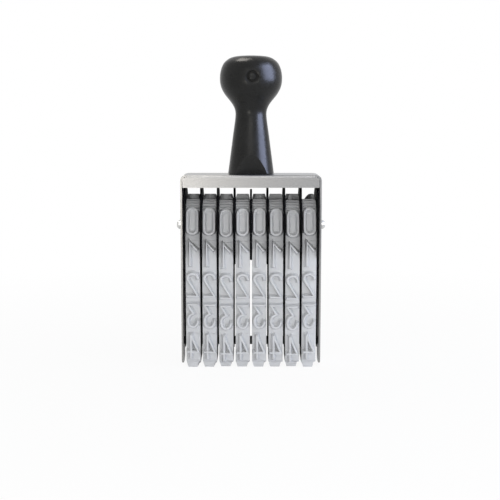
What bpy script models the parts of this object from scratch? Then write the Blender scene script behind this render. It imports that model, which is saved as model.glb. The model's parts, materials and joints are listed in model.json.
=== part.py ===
"""Numbering stamp with eight printing bands.

A bent steel frame carries an axle with eight thumb wheels. A rubber band with raised,
mirrored numbers runs over each wheel and round a foot block at the printing end.
X runs across the bands, the bands are read from -Y, and the printing face lies at Z = 0.
"""
import math

import bmesh
import bpy
from mathutils import Matrix, Vector

mm = 0.001
full_turn = 2 * math.pi
half_turn = math.pi
quarter_turn = math.pi / 2

# Printing bands
band_count = 8
band_width = 8.1 * mm
band_thickness = 1.6 * mm
relief_height = 3.0 * mm
relief_draft = 0.75 * mm
relief_root = 0.3 * mm
relief_side_inset = 0.1 * mm
digit_height = 14.0 * mm
digit_width = 6.8 * mm
digit_head_gap = 0.3 * mm
stroke_width = 1.05 * mm
miter_limit_share = 1.45

# Ribbed stretch of each band, gripped when the band is changed
rib_stretch = 8.8 * mm
rib_count = 4
rib_width = 0.9 * mm
rib_height = 1.6 * mm
rib_draft = 0.25 * mm
rib_side_inset = 0.7 * mm

# Where each band has come to rest, as shares of one number's pad, against a centred number 5
band_roll_shares = (-0.035, -0.02, 0.03, 0.0, -0.01, 0.0, 0.045, -0.025)
pad_symbols = ("0", "1", "2", "3", "4", "5", "6", "7", "8", "9", "dash")
last_symbols = ("3", "8", "0", "2", "0", "2", "4", "slash")
printed_pad_share = 5.5

# Stack on the axle
side_clearance = 0.15 * mm
divider_thickness = 0.41 * mm
wheel_rim_thickness = 0.4 * mm
wheel_rim_radius = 22.8 * mm
middle_disc_radius = 20.4 * mm
wheel_hub_radius = 12.75 * mm
hub_clearance = 0.35 * mm
axle_height = 81.0 * mm
axle_radius = 2.5 * mm
axle_bore_clearance = 0.25 * mm
axle_washer_radius = 5.0 * mm
axle_washer_thickness = 0.3 * mm
end_clearance = 0.15 * mm

# Foot of the bands
foot_half_flat = 8.6 * mm
foot_inner_radius = 0.8 * mm
foot_block_clearance = 0.3 * mm
foot_block_height = 17.0 * mm
foot_block_shoulder = 3.0 * mm
foot_rod_height = 13.6 * mm
foot_rod_radius = 2.45 * mm
foot_rod_end_radius = 1.7 * mm
foot_rod_bore_clearance = 0.3 * mm

# Divider plates
divider_top_gap = 4.4 * mm
divider_side_gap = 1.2 * mm
divider_foot_half_depth = 7.0 * mm
divider_corner = 3.0 * mm
divider_slot_clearance = 0.2 * mm

# Bent sheet frame
sheet = 1.0 * mm
frame_depth = 28.0 * mm
frame_bend_radius = 3.0 * mm
frame_fold_radius = 1.2 * mm
frame_head_room = 5.2 * mm
frame_fold_drop = 7.0 * mm
frame_relief = 0.8 * mm
frame_ear_gap = 1.4 * mm
frame_ear_drop = 0.3 * mm
frame_ear_cut = 0.5 * mm
frame_foot_gap = 1.2 * mm
frame_foot_half_depth = 8.0 * mm
frame_foot_corner = 4.5 * mm
frame_shoulder_drop = 12.0 * mm
hole_clearance = 0.3 * mm

# Axle screws
screw_head_radius = 2.6 * mm
screw_head_height = 2.6 * mm
screw_shank_radius = 1.3 * mm
screw_shank_length = 7.0 * mm
screw_slot_width = 0.7 * mm
screw_slot_depth = 1.2 * mm
screw_crown_share = 0.6
seat_clearance = 0.1 * mm
thread_clearance = 0.25 * mm
thread_end_gap = 0.6 * mm

# Handle
handle_height = 66.2 * mm
handle_radius = 17.6 * mm
handle_seat_gap = 0.3 * mm
handle_turn = math.radians(3.0)
handle_outline_shares = (
    (0.000, 0.712), (0.010, 0.742), (0.180, 0.651), (0.360, 0.563), (0.460, 0.513),
    (0.515, 0.500), (0.565, 0.543), (0.616, 0.664), (0.668, 0.823), (0.732, 0.954),
    (0.805, 1.000), (0.880, 0.975), (0.935, 0.890), (0.972, 0.749), (0.995, 0.560),
    (1.000, 0.450),
)
facet_foot_share = 0.53
facet_lean = math.radians(12.0)
recess_height_share = 0.818
recess_radius = 3.3 * mm
recess_boss_radius = 1.8 * mm
recess_depth = 1.9 * mm
handle_bore_depth = 13.0 * mm

# Handle fixing
insert_radius = 3.5 * mm
insert_length = 12.0 * mm
handle_screw_radius = 2.0 * mm
handle_screw_reach = 9.0 * mm
handle_screw_head_radius = 4.0 * mm
handle_screw_head_height = 2.4 * mm
handle_screw_slot_width = 1.1 * mm
handle_screw_slot_depth = 1.2 * mm
lock_washer_radius = 4.3 * mm
lock_washer_thickness = 1.0 * mm

# How finely round things are divided
overrun = 2.0 * mm
round_steps = 24
rim_steps = 36
small_round_steps = 12
wheel_arc_steps = 10
foot_arc_steps = 3
fold_arc_steps = 3
digit_arc_steps = 3
bowl_arc_steps = 4
weld_distance = 0.002 * mm
smooth_angle = math.radians(35)

# Worked out from the sizes above
pitch = band_width + wheel_rim_thickness + divider_thickness + 3 * side_clearance
gap_width = pitch - band_width
middle_gap = band_count // 2
foot_corner_radius = foot_inner_radius + band_thickness
band_line_radius = wheel_hub_radius + hub_clearance + band_thickness
foot_centre_height = relief_height + foot_corner_radius
stack_half_width = (band_count * pitch + gap_width) / 2
frame_half_width = stack_half_width + end_clearance * 2 + axle_washer_thickness + sheet
frame_top = axle_height + wheel_rim_radius + frame_head_room + sheet
frame_inner_half = frame_half_width - sheet
handle_base = frame_top + handle_seat_gap


def clear_scene():
    """Start from an empty scene."""
    for item in list(bpy.data.objects):
        bpy.data.objects.remove(item, do_unlink=True)


def new_collection(name):
    """Collection linked into the scene."""
    collection = bpy.data.collections.new(name)
    bpy.context.scene.collection.children.link(collection)
    return collection


def make_material(name, colour, roughness, metallic=0.0):
    """Principled material with one colour."""
    material = bpy.data.materials.new(name)
    material.use_nodes = True
    shader = material.node_tree.nodes["Principled BSDF"]
    shader.inputs["Base Color"].default_value = (*colour, 1.0)
    shader.inputs["Roughness"].default_value = roughness
    shader.inputs["Metallic"].default_value = metallic
    material.diffuse_color = (*colour, 1.0)
    return material


def add_object(name, data, collection, material=None, location=(0, 0, 0)):
    """Object in a collection, with its material and place."""
    item = bpy.data.objects.new(name, data)
    collection.objects.link(item)
    item.location = location
    if material is not None and not data.materials:
        data.materials.append(material)
    return item


def hide_cutter(item):
    """Mark an object as a cutter."""
    item.hide_render = True
    item.display_type = "WIRE"
    return item


def circle(radius, steps=round_steps, centre=(0, 0)):
    """Points of a circle in its own plane."""
    turns = [full_turn * step / steps for step in range(steps)]
    return [(centre[0] + radius * math.cos(turn), centre[1] + radius * math.sin(turn)) for turn in turns]


def arc(centre, radius, start, end, steps):
    """Points of an arc from one angle to another."""
    turns = [start + (end - start) * step / steps for step in range(steps + 1)]
    return [(centre[0] + radius * math.cos(turn), centre[1] + radius * math.sin(turn)) for turn in turns]


def plate_curve(name, outlines, thickness):
    """Flat outline with its holes, given a thickness."""
    curve = bpy.data.curves.new(name, "CURVE")
    curve.dimensions = "2D"
    curve.fill_mode = "BOTH"
    curve.extrude = thickness / 2
    for outline in outlines:
        spline = curve.splines.new("POLY")
        spline.points.add(len(outline) - 1)
        for point, (across, up) in zip(spline.points, outline):
            point.co = (across, up, 0, 1)
        spline.use_cyclic_u = True
    return curve


def across_plate(name, outlines, thickness, collection, material, x=0):
    """Plate drawn in the YZ plane, its thickness along X."""
    plate = add_object(name, plate_curve(name, outlines, thickness), collection, material)
    plate.rotation_euler = (quarter_turn, 0, quarter_turn)
    plate.location.x = x
    return plate


def along_plate(name, outlines, thickness, collection, material):
    """Plate drawn in the XZ plane, its thickness along Y."""
    plate = add_object(name, plate_curve(name, outlines, thickness), collection, material)
    plate.rotation_euler = (quarter_turn, 0, 0)
    return plate


def evaluated_mesh(item):
    """Mesh of an object with its modifiers, in the object's own space."""
    bpy.context.view_layer.update()
    graph = bpy.context.evaluated_depsgraph_get()
    return bpy.data.meshes.new_from_object(item.evaluated_get(graph), depsgraph=graph)


def as_mesh(item, collection, material=None):
    """Replace a curve or an object with modifiers by its welded mesh, in world space."""
    mesh = evaluated_mesh(item)
    mesh.transform(item.matrix_world)
    shape = bmesh.new()
    shape.from_mesh(mesh)
    bmesh.ops.remove_doubles(shape, verts=shape.verts, dist=weld_distance)
    bmesh.ops.recalc_face_normals(shape, faces=shape.faces)
    shape.to_mesh(mesh)
    shape.free()
    name = item.name
    bpy.data.objects.remove(item, do_unlink=True)
    mesh.name = name
    if material is not None:
        mesh.materials.clear()
        mesh.materials.append(material)
    return add_object(name, mesh, collection)


def cylinder(
    name, radius, length, collection, material=None, steps=round_steps, axis="X", centre=(0, 0, 0)
):
    """Closed cylinder along one axis, placed by its middle."""
    shape = bmesh.new()
    bmesh.ops.create_cone(
        shape, cap_ends=True, segments=steps, radius1=radius, radius2=radius, depth=length
    )
    if axis == "X":
        bmesh.ops.transform(shape, matrix=Matrix.Rotation(quarter_turn, 4, "Y"), verts=shape.verts)
    mesh = bpy.data.meshes.new(name)
    shape.to_mesh(mesh)
    shape.free()
    return add_object(name, mesh, collection, material, centre)


def block(name, size, centre, collection, material=None):
    """Box of a size, placed by its middle."""
    shape = bmesh.new()
    bmesh.ops.create_cube(shape, size=1)
    bmesh.ops.scale(shape, vec=size, verts=shape.verts)
    mesh = bpy.data.meshes.new(name)
    shape.to_mesh(mesh)
    shape.free()
    return add_object(name, mesh, collection, material, centre)


def combine(target, other, operation):
    """Boolean modifier that joins, cuts or trims the target."""
    modifier = target.modifiers.new(other.name, "BOOLEAN")
    modifier.operation = operation
    modifier.solver = "EXACT"
    modifier.object = other
    return target


def turned(name, profile, collection, material, steps=round_steps, axis="Z"):
    """Solid turned about an axis from its outer side, listed from top to bottom as (radius, height)."""
    mesh = bpy.data.meshes.new(name)
    points = [(radius, 0, height) for radius, height in profile]
    mesh.from_pydata(points, [(i, i + 1) for i in range(len(points) - 1)], [])
    item = add_object(name, mesh, collection, material)
    screw = item.modifiers.new("turn", "SCREW")
    screw.axis = "Z"
    screw.steps = steps
    screw.render_steps = steps
    screw.use_merge_vertices = True
    screw.merge_threshold = weld_distance
    screw.use_smooth_shade = False
    if axis == "X":
        item.rotation_euler = (0, quarter_turn, 0)
    return item


def smooth(item):
    """Shade a mesh smooth, with its sharp edges kept."""
    item.data.shade_smooth()
    item.data.set_sharp_from_angle(angle=smooth_angle)


def outward(angle):
    """Outward direction in the YZ plane, turning from +Z towards -Y."""
    return (-math.sin(angle), math.cos(angle))


def band_stretches():
    """Arcs and straight runs of a band's outer surface, from the top of its wheel round by the front."""
    drop = axle_height - foot_centre_height
    reach = math.hypot(foot_half_flat, drop)
    lean = half_turn - math.asin(foot_half_flat / reach)
    wrap = lean - math.acos((band_line_radius - foot_corner_radius) / reach)
    run = math.sqrt(reach ** 2 - (band_line_radius - foot_corner_radius) ** 2)
    wheel_centre = (0, axle_height)
    front_centre = (-foot_half_flat, foot_centre_height)
    back_centre = (foot_half_flat, foot_centre_height)
    return [
        (wheel_centre, band_line_radius, 0, wrap, 0),
        (wheel_centre, band_line_radius, wrap, wrap, run),
        (front_centre, foot_corner_radius, wrap, half_turn, 0),
        (front_centre, foot_corner_radius, half_turn, half_turn, 2 * foot_half_flat),
        (back_centre, foot_corner_radius, half_turn, full_turn - wrap, 0),
        (back_centre, foot_corner_radius, full_turn - wrap, full_turn - wrap, run),
        (wheel_centre, band_line_radius, full_turn - wrap, full_turn, 0),
    ]


def stretch_length(stretch):
    """Length of one arc or straight run."""
    centre, radius, start, end, run = stretch
    return run if run else radius * (end - start)


def band_place(distance, height):
    """Place in the YZ plane at a distance round the band and a height over its outer surface."""
    left = distance
    for stretch in band_stretches():
        centre, radius, start, end, run = stretch
        length = stretch_length(stretch)
        if left <= length:
            break
        left -= length
    left = min(left, length)
    angle = start if run else start + (end - start) * left / length
    out = outward(angle)
    ahead = (-math.cos(angle), -math.sin(angle))
    slide = left if run else 0
    y = centre[0] + (radius + height) * out[0] + slide * ahead[0]
    z = centre[1] + (radius + height) * out[1] + slide * ahead[1]
    return y, z


def band_stations():
    """Distances round the band at which its surface changes direction."""
    stations = []
    travelled = 0
    for stretch in band_stretches():
        centre, radius, start, end, run = stretch
        length = stretch_length(stretch)
        if run:
            steps = 1
        elif radius == foot_corner_radius:
            steps = foot_arc_steps
        else:
            steps = wheel_arc_steps // 2
        stations += [travelled + length * step / steps for step in range(steps)]
        travelled += length
    return stations


band_length = sum(stretch_length(stretch) for stretch in band_stretches())
pad_length = (band_length - rib_stretch) / (len(pad_symbols) + 1)


def bend(centre, size, start, end, steps=digit_arc_steps):
    """Arc of a symbol's middle line, in shares of its box and of a full turn."""
    turns = [full_turn * (start + (end - start) * step / steps) for step in range(steps + 1)]
    return [(centre[0] + size[0] * math.cos(turn), centre[1] + size[1] * math.sin(turn)) for turn in turns]


def number_strokes(symbol):
    """Middle lines of a symbol's strokes, in shares of its box, and whether each one closes."""
    ring_steps = 2 * digit_arc_steps
    stroke_shares = {
        "0": [(bend((0.5, 0.78), (0.5, 0.22), 0, 0.5) + bend((0.5, 0.22), (0.5, 0.22), 0.5, 1), True)],
        "1": [([(0.12, 0.68), (0.75, 1.0), (0.75, 0.0)], False)],
        "2": [(bend((0.5, 0.79), (0.5, 0.21), 0.5, -0.06) + [(0.0, 0.0), (1.0, 0.0)], False)],
        "3": [(
            [(0.04, 1.0), (1.0, 1.0), (0.45, 0.6)]
            + bend((0.5, 0.3), (0.5, 0.3), 0.2, -0.47, bowl_arc_steps), False,
        )],
        "4": [([(0.72, 0.0), (0.72, 1.0)], False), ([(0.72, 1.0), (0.0, 0.26), (1.0, 0.26)], False)],
        "5": [(
            [(0.94, 1.0), (0.19, 1.0), (0.1, 0.52)]
            + bend((0.5, 0.3), (0.5, 0.3), 0.36, -0.46, bowl_arc_steps), False,
        )],
        "6": [
            (bend((0.5, 0.79), (0.5, 0.21), 0.05, 0.5) + [(0.0, 0.3)], False),
            (bend((0.5, 0.29), (0.5, 0.29), 0, 1, ring_steps)[:-1], True),
        ],
        "7": [([(0.0, 1.0), (1.0, 1.0), (0.4, 0.0)], False)],
        "8": [
            (bend((0.5, 0.77), (0.45, 0.23), 0, 1, ring_steps)[:-1], True),
            (bend((0.5, 0.27), (0.5, 0.27), 0, 1, ring_steps)[:-1], True),
        ],
        "dash": [([(0.1, 0.5), (0.9, 0.5)], False)],
        "slash": [([(0.1, 0.0), (0.9, 1.0)], False)],
    }
    if symbol == "9":
        return [([(1 - a, 1 - b) for a, b in line], closes) for line, closes in stroke_shares["6"]]
    return stroke_shares[symbol]


def stroke_sides(line, closes):
    """Sideways direction at each point of a line, lengthened at its corners."""
    sides = []
    last = len(line) - 1
    for i, here in enumerate(line):
        before = line[i - 1] if i or closes else None
        after = line[(i + 1) % len(line)] if i < last or closes else None
        turns = []
        for start, end in ((before, here), (here, after)):
            if start is not None and end is not None:
                length = math.hypot(end[0] - start[0], end[1] - start[1])
                turns.append(((start[1] - end[1]) / length, (end[0] - start[0]) / length))
        across = [sum(turn[axis] for turn in turns) / len(turns) for axis in (0, 1)]
        size = across[0] ** 2 + across[1] ** 2
        stretch = min(1 / size, miter_limit_share / math.sqrt(size))
        sides.append((across[0] * stretch, across[1] * stretch))
    return sides


def lengthened(line, reach):
    """Line with both its ends moved outwards."""
    first, last = [
        end + (end - inner).normalized() * reach
        for end, inner in ((Vector(line[0]), Vector(line[1])), (Vector(line[-1]), Vector(line[-2])))
    ]
    return [tuple(first)] + line[1:-1] + [tuple(last)]


def stroke_solid(name, line, closes, width, height, draft, collection):
    """Raised stroke with sloping flanks, rooted in the band laid out flat."""
    root_draft = draft * (1 + relief_root / height)
    side_limit = band_width / 2 - relief_side_inset
    levels = ((width / 2 + root_draft, -relief_root), (width / 2, height))
    shape = bmesh.new()
    rows = []
    if not closes:
        line = lengthened(line, width / 2)
    for (x, y), (side_x, side_y) in zip(line, stroke_sides(line, closes)):
        corners = []
        for half, level in (levels[0], levels[1], (-levels[1][0], height), (-levels[0][0], -relief_root)):
            corner_x = max(-side_limit, min(side_limit, x + side_x * half))
            corners.append(shape.verts.new((corner_x, y + side_y * half, level)))
        rows.append(corners)
    pairs = list(zip(rows, rows[1:]))
    if closes:
        pairs.append((rows[-1], rows[0]))
    for first, second in pairs:
        for i in range(4):
            shape.faces.new((first[i], first[(i + 1) % 4], second[(i + 1) % 4], second[i]))
    if not closes:
        shape.faces.new(rows[0])
        shape.faces.new(reversed(rows[-1]))
    bmesh.ops.recalc_face_normals(shape, faces=shape.faces)
    mesh = bpy.data.meshes.new(name)
    shape.to_mesh(mesh)
    shape.free()
    return add_object(name, mesh, collection)


def flat_band(last_symbol, collection):
    """One band laid out flat, X across and Y along it, with its ribs and mirrored symbols."""
    strip = block(
        "flat_band", (band_width, band_length, band_thickness),
        (0, band_length / 2, -band_thickness / 2), collection,
    )
    reliefs = new_collection("reliefs")
    for rib in range(rib_count):
        along = rib_stretch * (rib + 0.5) / rib_count
        half = band_width / 2 - rib_side_inset
        stroke_solid(
            f"rib_{rib}", [(-half, along), (half, along)], False, rib_width, rib_height, rib_draft, reliefs
        )
    box_width = digit_width - stroke_width
    box_height = digit_height - stroke_width
    for pad, symbol in enumerate((*pad_symbols, last_symbol)):
        middle = rib_stretch + pad * pad_length + digit_head_gap + digit_height / 2
        for number, (shares, closes) in enumerate(number_strokes(symbol)):
            line = [((0.5 - a) * box_width, middle + (0.5 - b) * box_height) for a, b in shares]
            stroke_solid(
                f"symbol_{symbol}_{number}", line, closes, stroke_width, relief_height, relief_draft, reliefs
            )
    join = strip.modifiers.new("reliefs", "BOOLEAN")
    join.operation = "UNION"
    join.operand_type = "COLLECTION"
    join.solver = "EXACT"
    join.collection = reliefs
    mesh = evaluated_mesh(strip)
    mesh.transform(strip.matrix_world)
    for item in list(reliefs.objects) + [strip]:
        bpy.data.objects.remove(item, do_unlink=True)
    bpy.data.collections.remove(reliefs)
    return mesh


def wrap_band(name, flat, roll_share, material, collection, x):
    """Close the flat band round its wheel and foot."""
    start = band_length / 2 - rib_stretch - printed_pad_share * pad_length + roll_share * pad_length
    shape = bmesh.new()
    shape.from_mesh(flat)
    for station in band_stations():
        along = (station - start) % band_length
        if weld_distance < along < band_length - weld_distance:
            parts = list(shape.verts) + list(shape.edges) + list(shape.faces)
            bmesh.ops.bisect_plane(
                shape, geom=parts, dist=weld_distance / 2, plane_co=(0, along, 0), plane_no=(0, 1, 0)
            )
    ends = [
        face for face in shape.faces
        if all(abs(v.co.y) < weld_distance for v in face.verts)
        or all(abs(v.co.y - band_length) < weld_distance for v in face.verts)
    ]
    bmesh.ops.delete(shape, geom=ends, context="FACES_ONLY")
    bmesh.ops.triangulate(shape, faces=shape.faces)
    for vert in shape.verts:
        y, z = band_place((vert.co.y + start) % band_length, vert.co.z)
        vert.co.y = y
        vert.co.z = z
    bmesh.ops.remove_doubles(shape, verts=shape.verts, dist=weld_distance)
    bmesh.ops.recalc_face_normals(shape, faces=shape.faces)
    mesh = bpy.data.meshes.new(name)
    shape.to_mesh(mesh)
    shape.free()
    return add_object(name, mesh, collection, material, (x, 0, 0))


def band_x(index):
    """Middle of a band across the stamp, counted from 0 at the left."""
    return (index - (band_count - 1) / 2) * pitch


def gap_left_x(gap):
    """Left side of a gap between bands: gap 0 lies left of the first band."""
    return band_x(gap) - band_width / 2 - gap_width


def make_wheel_mesh(side, cutters, collection, material):
    """Thumb wheel: a smooth hub under the band and a rim at one side of it, about the axle."""
    rim_middle = side * (band_width + wheel_rim_thickness + 2 * side_clearance) / 2
    hub_end = -side * band_width / 2
    wheel = cylinder("wheel", wheel_hub_radius, abs(rim_middle - hub_end), collection, material)
    wheel.location.x = (rim_middle + hub_end) / 2
    rim = cylinder("wheel_rim", wheel_rim_radius, wheel_rim_thickness, cutters, steps=rim_steps)
    rim.location.x = rim_middle
    bore_radius = axle_radius + axle_bore_clearance
    bore = cylinder("wheel_bore", bore_radius, 2 * pitch, cutters, steps=small_round_steps)
    combine(wheel, hide_cutter(rim), "UNION")
    combine(wheel, hide_cutter(bore), "DIFFERENCE")
    finished = as_mesh(wheel, collection, material)
    mesh = finished.data
    bpy.data.objects.remove(finished, do_unlink=True)
    for item in (rim, bore):
        bpy.data.objects.remove(item, do_unlink=True)
    return mesh


def make_wheels(parts, cutters, material):
    """A wheel for each band, its origin on the axle and its rim at the side away from the middle gap."""
    left_mesh, right_mesh = [make_wheel_mesh(side, cutters, parts, material) for side in (-1, 1)]
    for index in range(band_count):
        mesh = left_mesh if index < middle_gap else right_mesh
        wheel = add_object(
            f"number_wheel_{index + 1}", mesh, parts, material, (band_x(index), 0, axle_height)
        )
        smooth(wheel)


def make_bands(parts, material):
    """All bands, each at its own roll."""
    flats = {symbol: flat_band(symbol, parts) for symbol in sorted(set(last_symbols))}
    for index, (roll_share, symbol) in enumerate(zip(band_roll_shares, last_symbols)):
        wrap_band(f"number_band_{index + 1}", flats[symbol], roll_share, material, parts, band_x(index))


def divider_outlines():
    """Divider plate: tall sides, cut corners, an axle hole and a slot open towards the foot."""
    top = frame_top - sheet - divider_top_gap
    half = frame_depth / 2 - sheet - divider_side_gap
    foot = divider_foot_half_depth
    slot = foot_rod_radius + divider_slot_clearance
    bottom = foot_rod_height - foot_rod_radius
    slot_arc = arc((0, foot_rod_height), slot, half_turn, 0, small_round_steps // 2)
    cut = top - divider_corner
    outline = [(foot, bottom), (half, axle_height), (half, cut), (half - divider_corner, top)]
    outline += [(divider_corner - half, top), (-half, cut), (-half, axle_height)]
    outline += [(-foot, bottom), (-slot, bottom)] + slot_arc + [(slot, bottom)]
    hole = circle(axle_radius + axle_bore_clearance, small_round_steps, (0, axle_height))
    return [outline, hole]


def make_dividers(parts, material):
    """A divider plate in each gap but the middle one, beyond the rim that shares the gap."""
    number = 1
    inset = side_clearance + divider_thickness / 2
    for gap in range(band_count + 1):
        if gap == middle_gap:
            continue
        x = gap_left_x(gap) + (inset if gap < middle_gap else gap_width - inset)
        across_plate(
            f"divider_plate_{number}", divider_outlines(), divider_thickness, parts, material, x
        )
        number += 1


def make_middle_disc(parts, material):
    """Plain disc in the middle gap, between the two halves of the stack."""
    outlines = [circle(middle_disc_radius, rim_steps, (0, axle_height))]
    outlines.append(circle(axle_radius + axle_bore_clearance, small_round_steps, (0, axle_height)))
    x = gap_left_x(middle_gap) + gap_width / 2
    across_plate("middle_disc", outlines, gap_width - 2 * side_clearance, parts, material, x)


def foot_block_outlines():
    """Foot block inside a band: its lower corners follow the band's inside."""
    corner = foot_inner_radius - foot_block_clearance
    wrap = band_stretches()[0][3]
    front = [(-foot_half_flat, foot_centre_height)]
    arc_points = []
    for step in range(foot_arc_steps + 1):
        out = outward(wrap + (half_turn - wrap) * step / foot_arc_steps)
        arc_points.append((front[0][0] + corner * out[0], front[0][1] + corner * out[1]))
    top = foot_centre_height - corner + foot_block_height
    lean = math.tan(wrap - quarter_turn)
    shoulder_half = foot_half_flat + corner + lean * (top - foot_centre_height - foot_block_shoulder)
    crown_half = shoulder_half - foot_block_shoulder
    left = [(-crown_half, top), (-shoulder_half, top - foot_block_shoulder)] + arc_points
    right = [(-y, z) for y, z in reversed(left)]
    hole = circle(foot_rod_radius + foot_rod_bore_clearance, small_round_steps, (0, foot_rod_height))
    return [left + right, hole]


def make_foot_blocks(parts, material):
    """A foot block inside each band."""
    for index in range(band_count):
        across_plate(
            f"foot_block_{index + 1}", foot_block_outlines(), band_width, parts, material, band_x(index)
        )


def make_foot_rod(parts, material):
    """Rod through the foot blocks, its thinner ends peened flush with the frame's sides."""
    shoulder = frame_inner_half - seat_clearance
    profile = [
        (0, frame_half_width), (foot_rod_end_radius, frame_half_width), (foot_rod_end_radius, shoulder),
        (foot_rod_radius, shoulder), (foot_rod_radius, -shoulder), (foot_rod_end_radius, -shoulder),
        (foot_rod_end_radius, -frame_half_width), (0, -frame_half_width),
    ]
    rod = turned("foot_rod", profile, parts, material, small_round_steps, "X")
    rod.location.z = foot_rod_height


def make_axle(parts, material):
    """Axle between the frame's sides, drilled at both ends for its screws."""
    half = frame_inner_half - seat_clearance
    bore = screw_shank_radius + thread_clearance
    depth = screw_shank_length - sheet + thread_end_gap
    profile = [
        (0, half - depth), (bore, half - depth), (bore, half), (axle_radius, half), (axle_radius, -half),
        (bore, -half), (bore, depth - half), (0, depth - half),
    ]
    axle = turned("axle", profile, parts, material, small_round_steps, "X")
    axle.location.z = axle_height


def make_axle_washers(parts, material):
    """Washer between the stack and each side of the frame."""
    reach = frame_inner_half - end_clearance - axle_washer_thickness / 2
    for side, x in (("left", -reach), ("right", reach)):
        outlines = [circle(axle_washer_radius, small_round_steps, (0, axle_height))]
        outlines.append(circle(axle_radius + axle_bore_clearance, small_round_steps, (0, axle_height)))
        across_plate(f"axle_washer_{side}", outlines, axle_washer_thickness, parts, material, x)


def make_axle_screws(parts, cutters, material):
    """Domed screws that hold the axle from outside, the right one with its slot level."""
    seat = frame_half_width + seat_clearance
    for side, sign, slot_turn in (("left", -1, quarter_turn), ("right", 1, 0)):
        profile = [
            (0, seat + screw_head_height), (screw_head_radius * screw_crown_share, seat + screw_head_height),
            (screw_head_radius, seat + screw_head_height * screw_crown_share), (screw_head_radius, seat),
            (screw_shank_radius, seat), (screw_shank_radius, seat - screw_shank_length),
            (0, seat - screw_shank_length),
        ]
        screw = turned(f"axle_screw_{side}", profile, parts, material, small_round_steps)
        screw.rotation_euler = (0, sign * quarter_turn, 0)
        screw.location.z = axle_height
        slot = block(
            f"slot_{side}", (2 * screw_slot_depth, 2 * screw_head_radius + overrun, screw_slot_width),
            (sign * (seat + screw_head_height), 0, axle_height), cutters,
        )
        slot.rotation_euler.x = slot_turn
        combine(screw, hide_cutter(slot), "DIFFERENCE")


def sheet_rows(shape, edge, rows):
    """Faces of a bent strip, from two corners along rows of two points; returns the last two corners."""
    for row in rows:
        ahead = [shape.verts.new(point) for point in row]
        shape.faces.new((edge[0], edge[1], ahead[1], ahead[0]))
        edge = ahead
    return edge


def flap_outline():
    """Outer edge of a fold below its bend, from the right end to the left."""
    ear = frame_half_width - frame_ear_gap
    high = frame_top - frame_fold_radius - frame_ear_drop
    low = frame_top - frame_fold_drop
    right = [(ear - frame_ear_cut, high), (ear, high - frame_ear_cut), (ear, low)]
    return right + [(-x, z) for x, z in reversed(right)]


def foot_outline(facing):
    """Rounded lower end of a side, from its edge on one side to that on the other."""
    across = facing * (frame_foot_half_depth - frame_foot_corner)
    height = frame_foot_gap + frame_foot_corner
    radius = facing * frame_foot_corner
    turns = (0, -facing * quarter_turn, -facing * half_turn)
    steps = small_round_steps // 2
    corner = arc((across, height), radius, turns[0], turns[1], steps)
    return corner + arc((-across, height), radius, turns[1], turns[2], steps)


def frame_sheet():
    """Outer surface of the frame, flat top first, with square notches where its folds and sides meet."""
    fold_y = frame_depth / 2 - frame_fold_radius
    bend_x = frame_half_width - frame_bend_radius
    side_y = fold_y - frame_relief
    notch_x = bend_x - frame_relief
    shape = bmesh.new()
    quarter = [(notch_x, fold_y), (notch_x, side_y), (bend_x, side_y)]
    ring = quarter + [(x, -y) for x, y in reversed(quarter)]
    ring += [(-x, y) for x, y in reversed(ring)]
    corners = [shape.verts.new((x, y, frame_top)) for x, y in ring]
    top = shape.faces.new(corners)
    turns = [quarter_turn * (step + 1) / fold_arc_steps for step in range(fold_arc_steps)]
    for edge, sign in (((corners[0], corners[-1]), 1), ((corners[5], corners[6]), -1)):
        rows = []
        for turn in turns:
            y = sign * (fold_y + frame_fold_radius * math.sin(turn))
            z = frame_top - frame_fold_radius * (1 - math.cos(turn))
            rows.append([(corner.co.x, y, z) for corner in edge])
        last = sheet_rows(shape, edge, rows)
        facing = 1 if last[0].co.x > 0 else -1
        flap = [shape.verts.new((facing * x, sign * frame_depth / 2, z)) for x, z in flap_outline()]
        shape.faces.new([last[0], last[1]] + flap[::-1])
    for edge, sign in (((corners[2], corners[3]), 1), ((corners[8], corners[9]), -1)):
        rows = []
        for turn in turns:
            x = sign * (bend_x + frame_bend_radius * math.sin(turn))
            z = frame_top - frame_bend_radius * (1 - math.cos(turn))
            rows.append([(x, corner.co.y, z) for corner in edge])
        shoulder = frame_top - frame_shoulder_drop
        rows.append([(sign * frame_half_width, corner.co.y, shoulder) for corner in edge])
        last = sheet_rows(shape, edge, rows)
        facing = 1 if last[0].co.y > 0 else -1
        tip_corners = [shape.verts.new((sign * frame_half_width, y, z)) for y, z in foot_outline(facing)]
        shape.faces.new([last[0], last[1]] + tip_corners[::-1])
    bmesh.ops.recalc_face_normals(shape, faces=shape.faces)
    if top.normal.z < 0:
        bmesh.ops.reverse_faces(shape, faces=shape.faces)
    mesh = bpy.data.meshes.new("frame")
    shape.to_mesh(mesh)
    shape.free()
    return mesh


def make_frame(parts, cutters, material):
    """One bent sheet: top, two sides, and folds along the front and back edges."""
    frame = add_object("frame", frame_sheet(), parts, material)
    wall = frame.modifiers.new("sheet", "SOLIDIFY")
    wall.thickness = sheet
    wall.offset = -1
    wall.use_even_offset = True
    through = 2 * (frame_half_width + overrun)
    holes = [
        cylinder(
            "axle_screw_holes", screw_shank_radius + hole_clearance, through, cutters,
            steps=small_round_steps, centre=(0, 0, axle_height),
        ),
        cylinder(
            "rod_end_holes", foot_rod_end_radius + hole_clearance, through, cutters,
            steps=small_round_steps, centre=(0, 0, foot_rod_height),
        ),
        cylinder(
            "handle_screw_hole", handle_screw_radius + hole_clearance, 2 * overrun + sheet, cutters,
            steps=small_round_steps, axis="Z", centre=(0, 0, frame_top),
        ),
    ]
    for hole in holes:
        combine(frame, hide_cutter(hole), "DIFFERENCE")


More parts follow.
